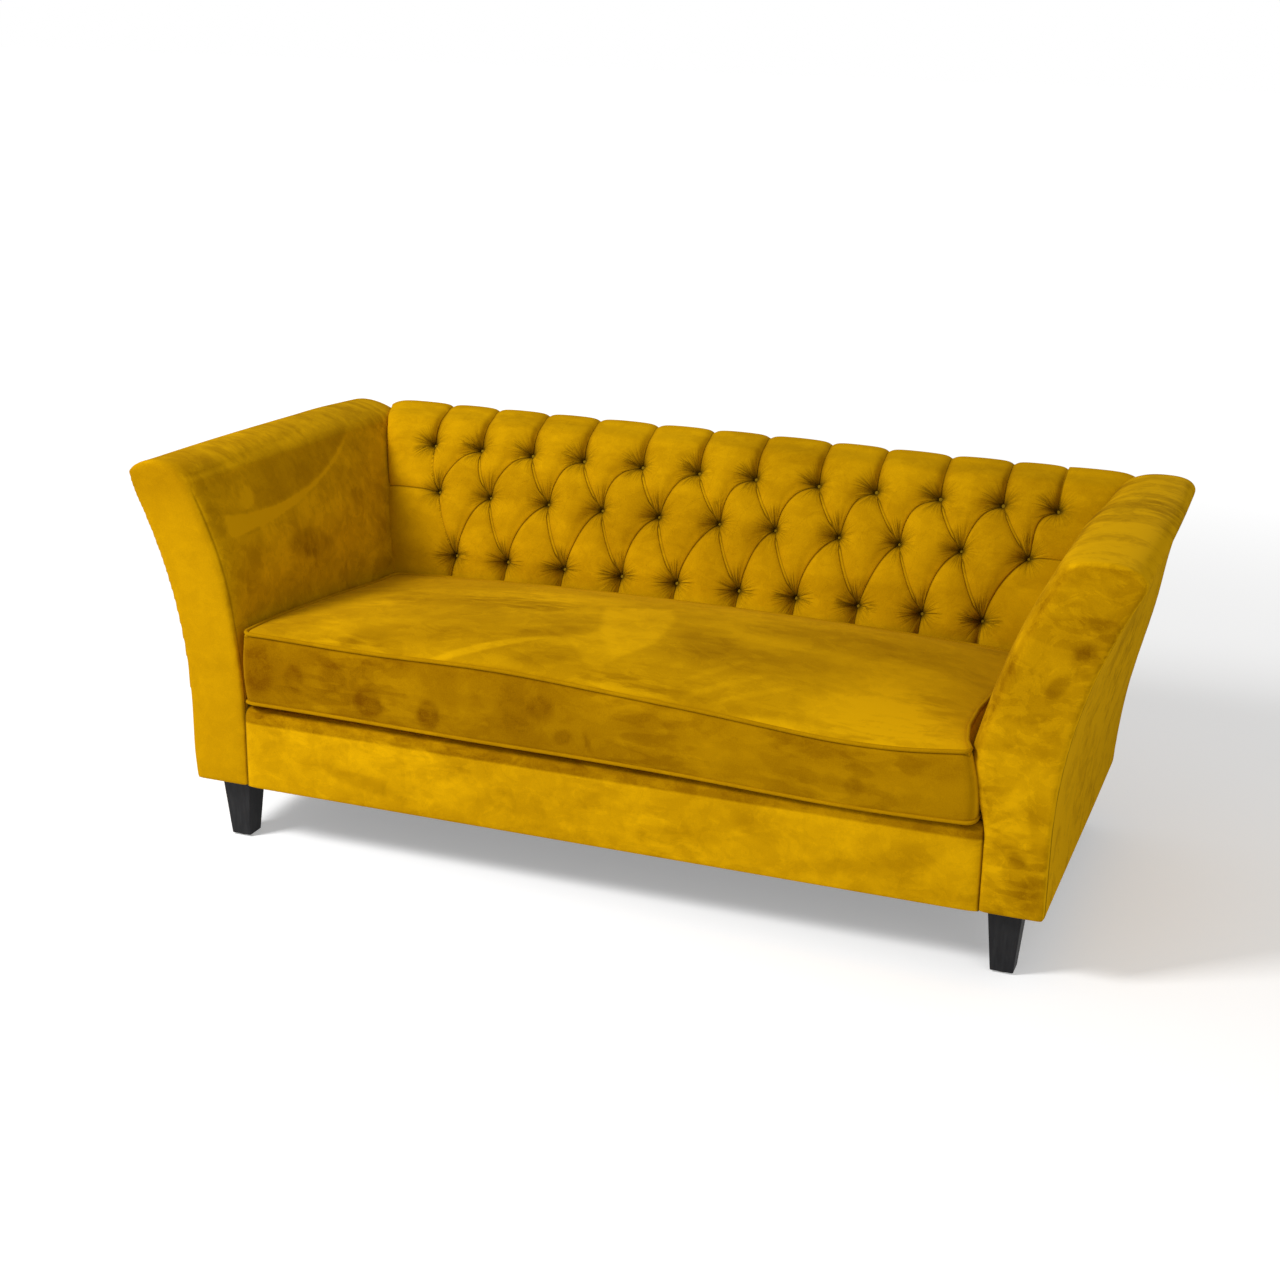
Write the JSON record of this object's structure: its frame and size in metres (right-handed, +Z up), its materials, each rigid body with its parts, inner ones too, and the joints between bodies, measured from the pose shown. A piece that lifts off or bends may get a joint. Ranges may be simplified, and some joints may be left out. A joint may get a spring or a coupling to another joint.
{
  "type": "sofa with wooden legs",
  "caption": "Low-backed sofa with flared arms, a deep-buttoned velvet back, one loose bench cushion and tapered black wooden legs.",
  "frame": {"origin": "on the floor under the middle of the sofa's box: midway between the arms, midway between the cushion's front and the rear of the back", "axes": "+X along the seat to the right as seen from the front, -Y out of the front of the seat, +Z up"},
  "size_m": [1.9188, 0.8942, 0.78],
  "materials": {
    "velvet": "mustard velvet over wadding",
    "velvet_trim": "mustard velvet, drawn tight",
    "timber": "raw softwood",
    "fibreboard": "hardboard",
    "leg_black": "black satin stain",
    "steel": "plain zinc plated",
    "webbing": "woven jute",
    "foam": "open-cell foam",
    "cambric": "black non-woven",
    "zip_tape": "woven tape and nylon coil",
    "glide": "moulded felt-coloured plastic"
  },
  "bodies": {
    "sofa": {"front_seat_rail": "timber", "rear_seat_rail": "timber", "left_seat_rail": "timber", "right_seat_rail": "timber", "seat_braces": "timber", "corner_blocks": "timber", "left_arm_frame": "timber", "right_arm_frame": "timber", "left_arm_boards": "fibreboard", "right_arm_boards": "fibreboard", "back_frame": "timber", "back_webbing": "webbing", "seat_springs": "steel", "spring_clips": "steel", "cross_wires": "steel", "seat_deck": "velvet", "front_border": "velvet", "left_arm_cover": "velvet", "right_arm_cover": "velvet", "left_arm_front": "velvet", "right_arm_front": "velvet", "back_pad": "velvet", "back_buttons": "velvet_trim", "outside_back": "velvet", "dust_cover": "cambric", "front_left_leg": "leg_black", "front_right_leg": "leg_black", "rear_left_leg": "leg_black", "rear_right_leg": "leg_black", "leg_plates": "steel", "leg_bolts": "steel", "foot_glides": "glide", "arm_bolts": "steel"},
    "seat_cushion": {"cushion_cover": "velvet", "cushion_core": "foam", "top_piping": "velvet_trim", "bottom_piping": "velvet_trim", "zip_chain": "zip_tape"},
    "zip_slider": {"zip_slider": "steel"}
  },
  "joints": [
    {"name": "cushion_lift", "type": "slide", "parent": "sofa", "child": "seat_cushion", "axis": [0, 0, 1], "range_m": [0, 0.5]},
    {"name": "zip_travel", "type": "slide", "parent": "seat_cushion", "child": "zip_slider", "axis": [1, 0, 0], "range_m": [-1.038, 0]}
  ]
}
